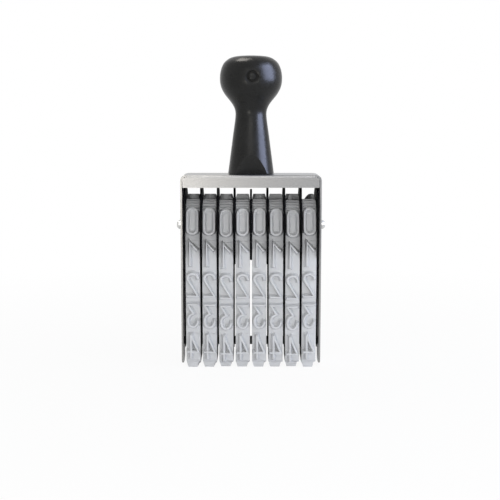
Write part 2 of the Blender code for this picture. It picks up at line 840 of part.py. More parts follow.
def make_handle(parts, cutters, material):
    """Turned handle with a knob, flats at its foot, a ring recess in the knob and a bore from below."""
    bore_radius = insert_radius + hole_clearance
    profile = [(0, handle_height)]
    profile += [(handle_radius * r, handle_height * z) for z, r in reversed(handle_outline_shares)]
    profile += [(bore_radius, 0), (bore_radius, handle_bore_depth), (0, handle_bore_depth)]
    handle = turned("handle", profile, parts, material)
    handle.location.z = handle_base
    handle.rotation_euler.z = handle_turn
    for name, turn in (("front", 0), ("back", half_turn)):
        depth = handle_radius
        flat = block(f"flat_{name}", (4 * depth, depth, 4 * depth), (0, 0, 0), cutters)
        lean = Matrix.Rotation(facet_lean, 4, "X")
        start = Matrix.Translation((0, -handle_radius * facet_foot_share, handle_base))
        outward_move = Matrix.Translation((0, -depth / 2, 0))
        flat.matrix_world = Matrix.Rotation(handle_turn + turn, 4, "Z") @ start @ lean @ outward_move
        combine(handle, hide_cutter(flat), "DIFFERENCE")
    rings = [circle(recess_radius, small_round_steps), circle(recess_boss_radius, small_round_steps)]
    ring = along_plate("knob_ring", rings, 2 * recess_depth, cutters, None)
    ring = as_mesh(ring, cutters)
    ring_height = handle_base + handle_height * recess_height_share
    ring_out = Matrix.Translation((0, -handle_radius, ring_height))
    ring.matrix_world = Matrix.Rotation(handle_turn, 4, "Z") @ ring_out
    combine(handle, hide_cutter(ring), "DIFFERENCE")


def make_handle_fixing(parts, cutters, metal, brass):
    """Threaded insert in the handle, and the screw with its washer under the frame's top."""
    bore = handle_screw_radius + thread_clearance
    bottom = handle_base + hole_clearance
    insert = [
        (bore, bottom + insert_length), (insert_radius, bottom + insert_length), (insert_radius, bottom),
        (bore, bottom), (bore, bottom + insert_length),
    ]
    turned("handle_insert", insert, parts, brass, small_round_steps)
    washer_top = frame_top - sheet - seat_clearance
    washer_bottom = washer_top - lock_washer_thickness
    hole = handle_screw_radius + hole_clearance
    washer = [
        (hole, washer_top), (lock_washer_radius, washer_top), (lock_washer_radius, washer_bottom),
        (hole, washer_bottom), (hole, washer_top),
    ]
    turned("handle_lock_washer", washer, parts, metal, small_round_steps)
    head_top = washer_bottom - seat_clearance
    head_bottom = head_top - handle_screw_head_height
    screw = turned(
        "handle_screw",
        [
            (0, handle_base + handle_screw_reach), (handle_screw_radius, handle_base + handle_screw_reach),
            (handle_screw_radius, head_top), (handle_screw_head_radius, head_top),
            (handle_screw_head_radius, head_bottom), (0, head_bottom),
        ],
        parts, metal, small_round_steps,
    )
    slot = block(
        "handle_screw_slot",
        (2 * handle_screw_head_radius + overrun, handle_screw_slot_width, 2 * handle_screw_slot_depth),
        (0, 0, head_bottom), cutters,
    )
    combine(screw, hide_cutter(slot), "DIFFERENCE")


def main():
    """Build the whole stamp."""
    clear_scene()
    parts = new_collection("numbering_stamp")
    cutters = new_collection("cutters")
    handle_plastic = make_material("handle_plastic", (0.022, 0.022, 0.021), 0.42)
    wheel_plastic = make_material("wheel_plastic", (0.010, 0.010, 0.011), 0.2)
    foot_plastic = make_material("foot_plastic", (0.62, 0.62, 0.60), 0.5)
    rubber = make_material("band_rubber", (0.58, 0.59, 0.62), 0.7)
    zinc = make_material("zinc_sheet", (0.52, 0.52, 0.50), 0.38, 1.0)
    steel = make_material("bright_steel", (0.60, 0.60, 0.60), 0.25, 1.0)
    black_steel = make_material("blackened_steel", (0.02, 0.02, 0.02), 0.4, 0.6)
    brass = make_material("brass", (0.70, 0.52, 0.24), 0.3, 1.0)
    make_handle(parts, cutters, handle_plastic)
    make_handle_fixing(parts, cutters, steel, brass)
    make_frame(parts, cutters, zinc)
    make_axle(parts, steel)
    make_axle_washers(parts, steel)
    make_axle_screws(parts, cutters, steel)
    make_wheels(parts, cutters, wheel_plastic)
    make_middle_disc(parts, wheel_plastic)
    make_bands(parts, rubber)
    make_dividers(parts, wheel_plastic)
    make_foot_blocks(parts, foot_plastic)
    make_foot_rod(parts, black_steel)


main()
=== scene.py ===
"""Looks of the numbering stamp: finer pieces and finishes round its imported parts."""

import json
import math

import bmesh
import bpy
from mathutils import Matrix, Vector

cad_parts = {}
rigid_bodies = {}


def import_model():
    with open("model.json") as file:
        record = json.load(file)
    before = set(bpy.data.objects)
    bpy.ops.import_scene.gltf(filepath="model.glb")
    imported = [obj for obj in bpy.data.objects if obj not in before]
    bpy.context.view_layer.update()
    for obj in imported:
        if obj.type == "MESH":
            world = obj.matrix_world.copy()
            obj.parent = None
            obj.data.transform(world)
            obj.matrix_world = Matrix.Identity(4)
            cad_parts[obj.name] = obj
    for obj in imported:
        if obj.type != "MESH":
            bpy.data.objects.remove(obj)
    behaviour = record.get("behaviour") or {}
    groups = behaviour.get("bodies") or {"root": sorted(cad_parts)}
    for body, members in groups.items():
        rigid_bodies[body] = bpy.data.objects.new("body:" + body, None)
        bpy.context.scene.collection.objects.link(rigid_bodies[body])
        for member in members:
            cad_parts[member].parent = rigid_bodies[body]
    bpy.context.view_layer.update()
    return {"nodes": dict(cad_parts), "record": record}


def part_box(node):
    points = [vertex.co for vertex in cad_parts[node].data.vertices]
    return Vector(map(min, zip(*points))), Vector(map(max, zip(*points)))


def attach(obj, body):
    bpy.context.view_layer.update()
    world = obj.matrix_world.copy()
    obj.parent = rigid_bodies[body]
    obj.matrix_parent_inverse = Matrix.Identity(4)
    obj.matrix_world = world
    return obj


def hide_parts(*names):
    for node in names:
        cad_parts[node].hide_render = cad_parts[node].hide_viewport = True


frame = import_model()
nodes = frame["nodes"]

mm = 0.001
full_turn = 2 * math.pi
half_turn = math.pi

# Bands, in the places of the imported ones
band_count = 8
band_width = 8.1 * mm
band_thickness = 1.6 * mm
band_edge = 0.25 * mm
band_edge_share = 0.3
pad_line_depth = 0.22 * mm
pad_line_half = 0.16 * mm
relief_height = 3.0 * mm
relief_side_inset = 0.1 * mm
digit_height = 14.0 * mm
digit_width = 6.8 * mm
digit_head_gap = 0.3 * mm
stroke_width = 1.05 * mm
stroke_arc_steps = 9
band_sharp_angle = 38
miter_limit_share = 1.45
rib_stretch = 8.8 * mm
rib_count = 4
rib_width = 0.9 * mm
rib_side_inset = 0.35 * mm
roll_shares = (-0.035, -0.02, 0.03, 0.0, -0.01, 0.0, 0.045, -0.025)
numbers = ("0", "1", "2", "3", "4", "5", "6", "7", "8", "9", "dash")
last_symbols = ("3", "8", "0", "2", "0", "2", "4", "slash")
printed_pad_share = 5.5
weld = 0.002 * mm

# Section of a raised stroke: how far out from its face's edge, and how high
flank_places = (
    (1.3 * mm, -0.3 * mm), (1.12 * mm, 0.0), (0.74 * mm, 0.35 * mm), (0.52 * mm, 0.9 * mm),
    (0.0, 2.84 * mm), (-0.05 * mm, 2.95 * mm), (-0.16 * mm, 3.0 * mm),
)
rib_places = (
    (0.35 * mm, -0.3 * mm), (0.2 * mm, 0.1 * mm), (0.0, 0.9 * mm),
    (-0.12 * mm, 1.2 * mm), (-0.28 * mm, 1.3 * mm),
)

# Path of a band
wheel_hub_radius = 12.75 * mm
hub_clearance = 0.35 * mm
axle_height = 81.0 * mm
foot_half_flat = 8.6 * mm
foot_inner_radius = 0.8 * mm
foot_corner_radius = foot_inner_radius + band_thickness
band_line_radius = wheel_hub_radius + hub_clearance + band_thickness
foot_centre_height = relief_height + foot_corner_radius
wheel_arc_steps = 18
foot_arc_steps = 5
pitch = 9.36 * mm

# Thumb wheels
rim_thickness = 0.4 * mm
rim_radius = 22.8 * mm
middle_disc_thickness = 1.2 * mm
middle_disc_radius = 20.4 * mm
rim_tooth = 0.35 * mm
rim_teeth = 72
# Places round one tooth, in shares of its turn, and whether each one is at its foot
tooth_places = ((-0.3, True), (-0.12, False), (0.12, False), (0.3, True))
bore_radius = 2.75 * mm
rim_edge = 0.06 * mm
rim_sharp_angle = 30
hub_steps = 64
bore_steps = 32

# Handle, and its outline as heights and radii in millimetres
handle_turn = math.radians(3.0)
handle_base = 110.3 * mm
handle_places = (
    (110.3, 12.75), (110.5, 13.05), (112.0, 12.84), (118.8, 11.95), (125.7, 11.05),
    (132.5, 10.17), (139.3, 9.21), (141.2, 8.98), (142.8, 8.83), (144.4, 8.79), (146.1, 9.0),
    (147.8, 9.56), (149.4, 10.38), (151.1, 11.6), (152.8, 12.98), (154.5, 14.35), (156.2, 15.48),
    (157.9, 16.38), (159.6, 17.0), (161.3, 17.4), (162.9, 17.58), (164.6, 17.6), (166.3, 17.48),
    (168.0, 17.2), (169.7, 16.75), (171.4, 16.05), (173.0, 15.05), (174.4, 13.5), (175.4, 11.9),
    (176.1, 9.9), (176.45, 7.8), (176.5, 6.0), (176.35, 3.0), (176.3, 0.0),
)
facet_foot = 9.33 * mm
facet_lean = math.radians(12.0)
facet_turn = math.radians(0.6)
facet_cutter_depth = 20 * mm
recess_height = 164.45 * mm
recess_steps = 48
# Section of the knob's ring recess: how far out from its middle, and how deep under the knob's front
recess_places = (
    (1.75 * mm, 1.0 * mm), (1.75 * mm, 4.5 * mm), (3.35 * mm, 4.5 * mm),
    (3.35 * mm, 0.62 * mm), (4.4 * mm, 0.56 * mm),
)
knob_radius = 17.6 * mm
handle_bore_radius = 3.8 * mm
handle_bore_depth = 13.0 * mm
handle_steps = 128
handle_outline_steps = 4
handle_bevel = 0.25 * mm
handle_bevel_angle = 12
handle_sharp_angle = 40

# Camera, fitted to the photograph
camera_place = (0, -0.558, 0.1387)
camera_tilt = math.radians(84.5)
camera_lens = 70.34
camera_sensor = 36.0
camera_shift = (-0.002, -0.0648)
camera_nearest = 0.01

# Stage: the world's strength, and where the floor turns to plain white, out from the stamp
world_strength = 0.5
floor_half_width = 3.0
floor_white_from = 0.06
floor_white_to = 0.4
floor_share_near = 0.93

# Place of each lamp, what it is aimed at, its size, its watts and its colour. The first two light
# matt surfaces alone, and the others show in highlights alone.
matt_lamps = {
    "key": ((0.1, -0.66, 0.06), (0, 0, 0.09), (1.1, 0.2), 3.0, (1.0, 0.995, 0.98)),
    "side": ((0.54, -0.25, 0.3), (0, 0, 0.15), (0.5, 0.5), 1.3, (0.75, 0.84, 1.0)),
}
highlight_lamps = {
    "sheen": ((0.57, -0.2, 0.38), (0, 0, 0.16), (0.5, 0.6), 19.0, (0.62, 0.7, 1.0)),
    "top": ((-0.14, 0.1, 0.65), (0, 0, 0.17), (0.2, 0.2), 1.8, (1.0, 0.95, 0.88)),
    "facet": ((-0.03, -0.6, 0.36), (0, 0, 0.12), (0.3, 0.14), 0.5, (1.0, 0.97, 0.93)),
    "spark": ((-0.14, -0.53, 0.05), (0, 0, 0.145), (0.05, 0.05), 0.45, (1.0, 0.95, 0.88)),
}

# Each finish: its two colours, its range of roughness, the scales of its patches and of its grain,
# the grain's depth, and what it has beside that
finishes = {
    "handle_plastic": (
        (0.010, 0.010, 0.0095), (0.015, 0.015, 0.0145), (0.25, 0.33), 120, 2600, 0.015 * mm,
        {"specular": 0.16},
    ),
    "wheel_plastic": (
        (0.002, 0.002, 0.0025), (0.004, 0.004, 0.0045), (0.62, 0.75), 200, 3000, 0.006 * mm,
        {"specular": 0.03},
    ),
    "foot_plastic": ((0.56, 0.56, 0.54), (0.62, 0.62, 0.6), (0.45, 0.6), 150, 2500, 0.01 * mm, {}),
    "band_rubber": (
        (0.555, 0.56, 0.57), (0.605, 0.61, 0.62), (0.7, 0.85), 90, 2200, 0.02 * mm,
        {"specular": 0.08},
    ),
    "zinc_sheet": (
        (0.23, 0.23, 0.227), (0.33, 0.33, 0.325), (0.3, 0.42), 1500, 2600, 0.008 * mm,
        {"metallic": 1.0},
    ),
    "bright_steel": (
        (0.5, 0.5, 0.49), (0.62, 0.62, 0.61), (0.22, 0.36), 400, 2500, 0.006 * mm, {"metallic": 1.0},
    ),
    "blackened_steel": (
        (0.012, 0.012, 0.012), (0.03, 0.03, 0.03), (0.3, 0.5), 300, 2000, 0.008 * mm, {},
    ),
    "brass": (
        (0.6, 0.43, 0.18), (0.72, 0.54, 0.25), (0.25, 0.4), 300, 2500, 0.006 * mm,
        {"metallic": 1.0, "stretch": (1, 1, 12)},
    ),
}


def new_material(name, colour, roughness, metallic=0.0, specular=0.5):
    """Principled material, its shader and its node tree."""
    material = bpy.data.materials.new(name)
    material.use_nodes = True
    tree = material.node_tree
    shader = tree.nodes["Principled BSDF"]
    shader.inputs["Base Color"].default_value = (*colour, 1)
    shader.inputs["Roughness"].default_value = roughness
    shader.inputs["Metallic"].default_value = metallic
    shader.inputs["Specular IOR Level"].default_value = specular
    return material, shader, tree


def noise(tree, scale, detail, roughness, stretch):
    """Noise over the object's own coordinates."""
    place = tree.nodes.new("ShaderNodeTexCoord")
    mapping = tree.nodes.new("ShaderNodeMapping")
    mapping.inputs["Scale"].default_value = stretch
    texture = tree.nodes.new("ShaderNodeTexNoise")
    texture.inputs["Scale"].default_value = scale
    texture.inputs["Detail"].default_value = detail
    texture.inputs["Roughness"].default_value = roughness
    tree.links.new(place.outputs["Object"], mapping.inputs["Vector"])
    tree.links.new(mapping.outputs["Vector"], texture.inputs["Vector"])
    return texture.outputs["Fac"]


def spread(tree, value, low, high, start=0.3, end=0.7):
    """Value brought from the range between start and end to that between low and high."""
    node = tree.nodes.new("ShaderNodeMapRange")
    node.inputs["From Min"].default_value = start
    node.inputs["From Max"].default_value = end
    node.inputs["To Min"].default_value = low
    node.inputs["To Max"].default_value = high
    tree.links.new(value, node.inputs["Value"])
    return node.outputs["Result"]


def tint(tree, value, low, high):
    """Colour between two by a value."""
    node = tree.nodes.new("ShaderNodeMix")
    node.data_type = "RGBA"
    node.inputs["A"].default_value = (*low, 1)
    node.inputs["B"].default_value = (*high, 1)
    tree.links.new(value, node.inputs["Factor"])
    return node.outputs["Result"]


def add_bump(tree, shader, value, distance):
    """Bump from a value."""
    node = tree.nodes.new("ShaderNodeBump")
    node.inputs["Distance"].default_value = distance
    node.inputs["Strength"].default_value = 1.0
    tree.links.new(value, node.inputs["Height"])
    tree.links.new(node.outputs["Normal"], shader.inputs["Normal"])


def finish(
    name, low, high, rough, patch, grain, depth, metallic=0.0, stretch=(1, 1, 1), specular=0.5
):
    """Material with patches of two colours, an uneven gloss and a fine grain."""
    material, shader, tree = new_material(name, low, rough[0], metallic, specular)
    patches = spread(tree, noise(tree, patch, 5.0, 0.6, stretch), 0, 1)
    tree.links.new(tint(tree, patches, low, high), shader.inputs["Base Color"])
    gloss = spread(tree, noise(tree, patch * 2.3, 3.0, 0.5, stretch), rough[0], rough[1])
    tree.links.new(gloss, shader.inputs["Roughness"])
    add_bump(tree, shader, noise(tree, grain, 3.0, 0.6, stretch), depth)
    return material


materials = {name: finish(name, *values, **more) for name, (*values, more) in finishes.items()}


def add_piece(name, mesh, slot, body, replaced=(), location=(0, 0, 0)):
    """Piece with its material, riding on a body."""
    item = bpy.data.objects.new(name, mesh)
    bpy.context.scene.collection.objects.link(item)
    item.location = location
    mesh.materials.clear()
    mesh.materials.append(materials[slot])
    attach(item, body)
    if replaced:
        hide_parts(*replaced)
    return item


def smooth(mesh, degrees):
    """Smooth shading, with the edges that turn by more than an angle kept sharp."""
    mesh.shade_smooth()
    mesh.set_sharp_from_angle(angle=math.radians(degrees))


def scratch(name, mesh):
    """Object in the scene for a boolean, removed afterwards."""
    item = bpy.data.objects.new(name, mesh)
    bpy.context.scene.collection.objects.link(item)
    return item


def evaluated(item):
    """Mesh of an object with its modifiers, in world space. The object itself is removed."""
    bpy.context.view_layer.update()
    graph = bpy.context.evaluated_depsgraph_get()
    mesh = bpy.data.meshes.new_from_object(item.evaluated_get(graph), depsgraph=graph)
    mesh.transform(item.matrix_world)
    bpy.data.objects.remove(item, do_unlink=True)
    return mesh


def combine(item, other, operation):
    """Boolean modifier with another object or a collection."""
    modifier = item.modifiers.new(other.name, "BOOLEAN")
    modifier.operation = operation
    modifier.solver = "EXACT"
    if isinstance(other, bpy.types.Collection):
        modifier.operand_type = "COLLECTION"
        modifier.collection = other
    else:
        modifier.object = other


def mesh_from(name, shape):
    """Mesh from an edit mesh, with its faces turned outwards."""
    bmesh.ops.recalc_face_normals(shape, faces=shape.faces)
    mesh = bpy.data.meshes.new(name)
    shape.to_mesh(mesh)
    shape.free()
    return mesh


def rings_mesh(name, rings, closes=False):
    """Skin over rings of points, capped at its ends unless it closes on itself."""
    shape = bmesh.new()
    rows = [[shape.verts.new(point) for point in ring] for ring in rings]
    pairs = list(zip(rows, rows[1:]))
    if closes:
        pairs.append((rows[-1], rows[0]))
    for first, second in pairs:
        for i in range(len(first)):
            j = (i + 1) % len(first)
            shape.faces.new((first[i], first[j], second[j], second[i]))
    if not closes:
        shape.faces.new(rows[0])
        shape.faces.new(reversed(rows[-1]))
    return mesh_from(name, shape)


def outward(angle):
    """Outward direction in the YZ plane, turning from +Z towards -Y."""
    return (-math.sin(angle), math.cos(angle))


def band_stretches():
    """Arcs and straight runs of a band's outer surface, from the top round by the front."""
    drop = axle_height - foot_centre_height
    reach = math.hypot(foot_half_flat, drop)
    lean = half_turn - math.asin(foot_half_flat / reach)
    wrap = lean - math.acos((band_line_radius - foot_corner_radius) / reach)
    run = math.sqrt(reach ** 2 - (band_line_radius - foot_corner_radius) ** 2)
    wheel_centre = (0, axle_height)
    front_centre = (-foot_half_flat, foot_centre_height)
    back_centre = (foot_half_flat, foot_centre_height)
    return [
        (wheel_centre, band_line_radius, 0, wrap, 0),
        (wheel_centre, band_line_radius, wrap, wrap, run),
        (front_centre, foot_corner_radius, wrap, half_turn, 0),
        (front_centre, foot_corner_radius, half_turn, half_turn, 2 * foot_half_flat),
        (back_centre, foot_corner_radius, half_turn, full_turn - wrap, 0),
        (back_centre, foot_corner_radius, full_turn - wrap, full_turn - wrap, run),
        (wheel_centre, band_line_radius, full_turn - wrap, full_turn, 0),
    ]


def stretch_length(stretch):
    """Length of one arc or straight run."""
    radius, start, end, run = stretch[1:]
    return run if run else radius * (end - start)


stretches = band_stretches()
band_length = sum(stretch_length(stretch) for stretch in stretches)
pad_length = (band_length - rib_stretch) / (len(numbers) + 1)


def band_place(distance, height):
    """Place in the YZ plane at a distance round the band and a height over its outer surface."""
    left = distance
    for stretch in stretches:
        centre, radius, start, end, run = stretch
        length = stretch_length(stretch)
        if left <= length:
            break
        left -= length
    left = min(left, length)
    angle = start if run else start + (end - start) * left / length
    out = outward(angle)
    slide = left if run else 0
    y = centre[0] + (radius + height) * out[0] - slide * math.cos(angle)
    z = centre[1] + (radius + height) * out[1] - slide * math.sin(angle)
    return y, z


def band_stations():
    """Distances round the band at which its surface changes direction."""
    stations = []
    travelled = 0
    for stretch in stretches:
        length = stretch_length(stretch)
        if stretch[4]:
            steps = 1
        elif stretch[1] == foot_corner_radius:
            steps = foot_arc_steps
        else:
            steps = wheel_arc_steps
        stations += [travelled + length * step / steps for step in range(steps)]
        travelled += length
    return stations


def bend(centre, size, start, end, steps=stroke_arc_steps):
    """Arc of a symbol's middle line, in shares of its box, angles in degrees."""
    turns = [math.radians(start + (end - start) * step / steps) for step in range(steps + 1)]
    return [(centre[0] + size[0] * math.cos(turn), centre[1] + size[1] * math.sin(turn)) for turn in turns]


def symbol_strokes(symbol):
    """Middle lines of a symbol's strokes, in shares of its box, and whether each one closes."""
    ring_steps = 2 * stroke_arc_steps
    stroke_shares = {
        "0": [(bend((0.5, 0.8), (0.5, 0.2), 0, 180) + bend((0.5, 0.2), (0.5, 0.2), 180, 360), True)],
        "1": [([(0.12, 0.68), (0.75, 1.0), (0.75, 0.0)], False)],
        "2": [(bend((0.5, 0.8), (0.5, 0.2), 180, -20) + [(0.0, 0.0), (1.0, 0.0)], False)],
        "3": [([(0.04, 1.0), (1.0, 1.0), (0.45, 0.6)] + bend((0.5, 0.29), (0.5, 0.29), 75, -172), False)],
        "4": [([(0.72, 0.0), (0.72, 1.0)], False), ([(0.72, 1.0), (0.0, 0.26), (1.0, 0.26)], False)],
        "5": [([(0.94, 1.0), (0.19, 1.0), (0.1, 0.52)] + bend((0.5, 0.3), (0.5, 0.3), 130, -168), False)],
        "6": [
            (bend((0.5, 0.8), (0.5, 0.2), 12, 180) + [(0.0, 0.3)], False),
            (bend((0.5, 0.29), (0.5, 0.29), 0, 360, ring_steps)[:-1], True),
        ],
        "7": [([(0.0, 1.0), (1.0, 1.0), (0.4, 0.0)], False)],
        "8": [
            (bend((0.5, 0.77), (0.45, 0.23), 0, 360, ring_steps)[:-1], True),
            (bend((0.5, 0.27), (0.5, 0.27), 0, 360, ring_steps)[:-1], True),
        ],
        "dash": [([(0.1, 0.5), (0.9, 0.5)], False)],
        "slash": [([(0.1, 0.0), (0.9, 1.0)], False)],
    }
    if symbol == "9":
        return [([(1 - a, 1 - b) for a, b in line], closes) for line, closes in stroke_shares["6"]]
    return stroke_shares[symbol]


def stroke_sides(line, closes):
    """Sideways direction at each point of a line, lengthened at its corners."""
    sides = []
    last = len(line) - 1
    for i, here in enumerate(line):
        before = line[i - 1] if i or closes else None
        after = line[(i + 1) % len(line)] if i < last or closes else None
        turns = []
        for start, end in ((before, here), (here, after)):
            if start is not None and end is not None:
                length = math.hypot(end[0] - start[0], end[1] - start[1])
                turns.append(((start[1] - end[1]) / length, (end[0] - start[0]) / length))
        across = [sum(turn[axis] for turn in turns) / len(turns) for axis in (0, 1)]
        size = across[0] ** 2 + across[1] ** 2
        stretch = min(1 / size, miter_limit_share / math.sqrt(size))
        sides.append((across[0] * stretch, across[1] * stretch))
    return sides


def stroke_mesh(name, line, closes, width, places):
    """Raised stroke, its section swept along a line and rooted in the flat band."""
    side_limit = band_width / 2 - relief_side_inset
    line = [Vector(point) for point in line]
    rings = []
    for i, (point, side) in enumerate(zip(line, stroke_sides(line, closes))):
        ahead = Vector((0, 0))
        if not closes and i == 0:
            ahead = (line[0] - line[1]).normalized()
        if not closes and i == len(line) - 1:
            ahead = (line[-1] - line[-2]).normalized()
        ring = []
        for sign, steps in ((1, places), (-1, places[::-1])):
            for out, height in steps:
                place = point + Vector(side) * sign * (width / 2 + out) + ahead * (width / 2 + out)
                ring.append((max(-side_limit, min(side_limit, place.x)), place.y, height))
        rings.append(ring)
    return rings_mesh(name, rings, closes)


def strip_mesh():
    """Band laid out flat: rounded long edges and a fine line across at each pad's end."""
    stations = [(0, pad_line_depth), (pad_line_half, 0)]
    for pad in range(len(numbers) + 1):
        line = rib_stretch + pad * pad_length
        stations += [(line - pad_line_half, 0), (line, pad_line_depth), (line + pad_line_half, 0)]
    stations += [(band_length - pad_line_half, 0), (band_length, pad_line_depth)]
    half = band_width / 2
    corner = band_edge * band_edge_share
    rings = []
    for along, depth in stations:
        rings.append([
            (-half + band_edge, along, -band_thickness), (-half, along, band_edge - band_thickness),
            (-half, along, -band_edge - depth), (-half + corner, along, -corner - depth),
            (-half + band_edge, along, -depth), (half - band_edge, along, -depth),
            (half - corner, along, -corner - depth), (half, along, -band_edge - depth),
            (half, along, band_edge - band_thickness), (half - band_edge, along, -band_thickness),
        ])
    return rings_mesh("flat_band", rings)


def flat_band(last_symbol):
    """One band laid out flat, X across and Y along it, with its ribs and mirrored symbols."""
    strip = scratch("flat_band", strip_mesh())
    reliefs = bpy.data.collections.new("reliefs")
    bpy.context.scene.collection.children.link(reliefs)
    lines = []
    half = band_width / 2 - rib_side_inset - rib_width / 2
    for rib in range(rib_count):
        along = rib_stretch * (rib + 0.5) / rib_count
        lines.append(([(-half, along), (half, along)], False, rib_width, rib_places))
    box_width = digit_width - stroke_width
    box_height = digit_height - stroke_width
    for pad, symbol in enumerate((*numbers, last_symbol)):
        middle = rib_stretch + pad * pad_length + digit_head_gap + digit_height / 2
        for shares, closes in symbol_strokes(symbol):
            line = [((0.5 - a) * box_width, middle + (0.5 - b) * box_height) for a, b in shares]
            lines.append((line, closes, stroke_width, flank_places))
    for number, (line, closes, width, places) in enumerate(lines):
        name = f"relief_{number}"
        reliefs.objects.link(bpy.data.objects.new(name, stroke_mesh(name, line, closes, width, places)))
    combine(strip, reliefs, "UNION")
    mesh = evaluated(strip)
    for item in list(reliefs.objects):
        bpy.data.objects.remove(item, do_unlink=True)
    bpy.data.collections.remove(reliefs)
    return mesh


def wrap_band(name, flat, roll_share):
    """Close the flat band round its wheel and foot."""
    start = band_length / 2 - rib_stretch - printed_pad_share * pad_length + roll_share * pad_length
    shape = bmesh.new()
    shape.from_mesh(flat)
    for station in band_stations():
        along = (station - start) % band_length
        if weld < along < band_length - weld:
            parts = list(shape.verts) + list(shape.edges) + list(shape.faces)
            bmesh.ops.bisect_plane(
                shape, geom=parts, dist=weld / 2, plane_co=(0, along, 0), plane_no=(0, 1, 0)
            )
    ends = [
        face for face in shape.faces
        if all(abs(v.co.y) < weld for v in face.verts)
        or all(abs(v.co.y - band_length) < weld for v in face.verts)
    ]
    bmesh.ops.delete(shape, geom=ends, context="FACES_ONLY")
    bmesh.ops.triangulate(shape, faces=shape.faces)
    for vert in shape.verts:
        y, z = band_place((vert.co.y + start) % band_length, vert.co.z)
        vert.co.y = y
        vert.co.z = z
    bmesh.ops.remove_doubles(shape, verts=shape.verts, dist=weld)
    return mesh_from(name, shape)


def band_x(index):
    """Middle of a band across the stamp, counted from 0 at the left."""
    return (index - (band_count - 1) / 2) * pitch


def make_bands():
    """All bands, each at its own roll."""
    flats = {}
    for index, (roll_share, last_symbol) in enumerate(zip(roll_shares, last_symbols)):
        if last_symbol not in flats:
            flats[last_symbol] = flat_band(last_symbol)
        name = f"rubber_band_{index + 1}"
        mesh = wrap_band(name, flats[last_symbol], roll_share)
        smooth(mesh, band_sharp_angle)
        replaced = [f"number_band_{index + 1}"]
        band = add_piece(name, mesh, "band_rubber", "root", replaced, (band_x(index), 0, 0))
        weight = band.modifiers.new("weighted", "WEIGHTED_NORMAL")
        weight.mode = "FACE_AREA_WITH_ANGLE"
        weight.keep_sharp = True


def toothed_outline(radius):
    """Points round a serrated rim."""
    points = []
    for tooth in range(rim_teeth):
        for share, at_foot in tooth_places:
            reach = radius - rim_tooth if at_foot else radius
            turn = full_turn * (tooth + share) / rim_teeth
            points.append((reach * math.cos(turn), reach * math.sin(turn)))
    return points


def round_bar(name, radius, low, high, steps):
    """Round bar along X between two places, for a boolean."""
    turns = [full_turn * step / steps for step in range(steps)]
    rings = [[(x, radius * math.cos(turn), radius * math.sin(turn)) for turn in turns] for x in (low, high)]
    return scratch(name, rings_mesh(name, rings))


def make_disc_mesh(middle, thickness, radius, hub_end=None):
    """Toothed disc about the axle at a place along X, with its bore, and a hub to the end given."""
    low, high = middle - thickness / 2, middle + thickness / 2
    levels = ((low, rim_edge), (low + rim_edge, 0), (high - rim_edge, 0), (high, rim_edge))
    rings = []
    for x, inset in levels:
        rings.append([(x, y, z) for y, z in toothed_outline(radius - inset)])
    disc = scratch("disc", rings_mesh("disc", rings))
    bore = round_bar("bore", bore_radius, -pitch, pitch, bore_steps)
    others = [bore]
    if hub_end is not None:
        hub = round_bar("hub", wheel_hub_radius, *sorted((hub_end, middle)), hub_steps)
        combine(disc, hub, "UNION")
        others.append(hub)
    combine(disc, bore, "DIFFERENCE")
    mesh = evaluated(disc)
    for item in others:
        bpy.data.objects.remove(item, do_unlink=True)
    smooth(mesh, rim_sharp_angle)
    return mesh


def make_wheels():
    """One wheel for each band, its rim at the side away from the middle, and the disc in the middle."""
    for index in range(band_count):
        number = index + 1
        side = -1 if number <= band_count // 2 else 1
        low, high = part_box(f"number_wheel_{number}")
        x = band_x(index)
        rim_end = (low if side < 0 else high).x - x
        rim_middle = rim_end - side * rim_thickness / 2
        mesh = make_disc_mesh(rim_middle, rim_thickness, rim_radius, -side * band_width / 2)
        add_piece(
            f"thumb_wheel_{number}", mesh, "wheel_plastic", f"wheel_{number}", [f"number_wheel_{number}"],
            (x, 0, axle_height),
        )
    mesh = make_disc_mesh(0, middle_disc_thickness, middle_disc_radius)
    add_piece("middle_toothed_disc", mesh, "wheel_plastic", "root", ["middle_disc"], (0, 0, axle_height))


def smooth_profile(places, steps):
    """Points on a smooth spline through places."""
    points = [Vector((radius * mm, height * mm)) for height, radius in places]
    line = []
    for i in range(len(points) - 1):
        before = points[max(i - 1, 0)]
        start, end = points[i], points[i + 1]
        after = points[min(i + 2, len(points) - 1)]
        for step in range(steps):
            t = step / steps
            square = 2 * before - 5 * start + 4 * end - after
            cube = 3 * start - before - 3 * end + after
            line.append(0.5 * (2 * start + (end - before) * t + square * t ** 2 + cube * t ** 3))
    line.append(points[-1])
    return line


def turned_mesh():
    """Handle turned from its smooth outline, with the bore in its foot."""
    bore_end = handle_base + handle_bore_depth
    outline = [(0, bore_end), (handle_bore_radius, bore_end), (handle_bore_radius, handle_base)]
    outline.append((handle_places[0][1] * mm, handle_base))
    outline += [tuple(point) for point in smooth_profile(handle_places[1:], handle_outline_steps)]
    shape = bmesh.new()
    columns = []
    axis_low = shape.verts.new((0, 0, outline[0][1]))
    axis_high = shape.verts.new((0, 0, outline[-1][1]))
    inner = outline[1:-1]
    for step in range(handle_steps):
        turn = full_turn * step / handle_steps
        columns.append([shape.verts.new((r * math.cos(turn), r * math.sin(turn), z)) for r, z in inner])
    for step in range(handle_steps):
        first, second = columns[step], columns[(step + 1) % handle_steps]
        shape.faces.new((axis_low, second[0], first[0]))
        for i in range(len(inner) - 1):
            shape.faces.new((first[i], second[i], second[i + 1], first[i + 1]))
        shape.faces.new((first[-1], second[-1], axis_high))
    return mesh_from("handle_turned", shape)


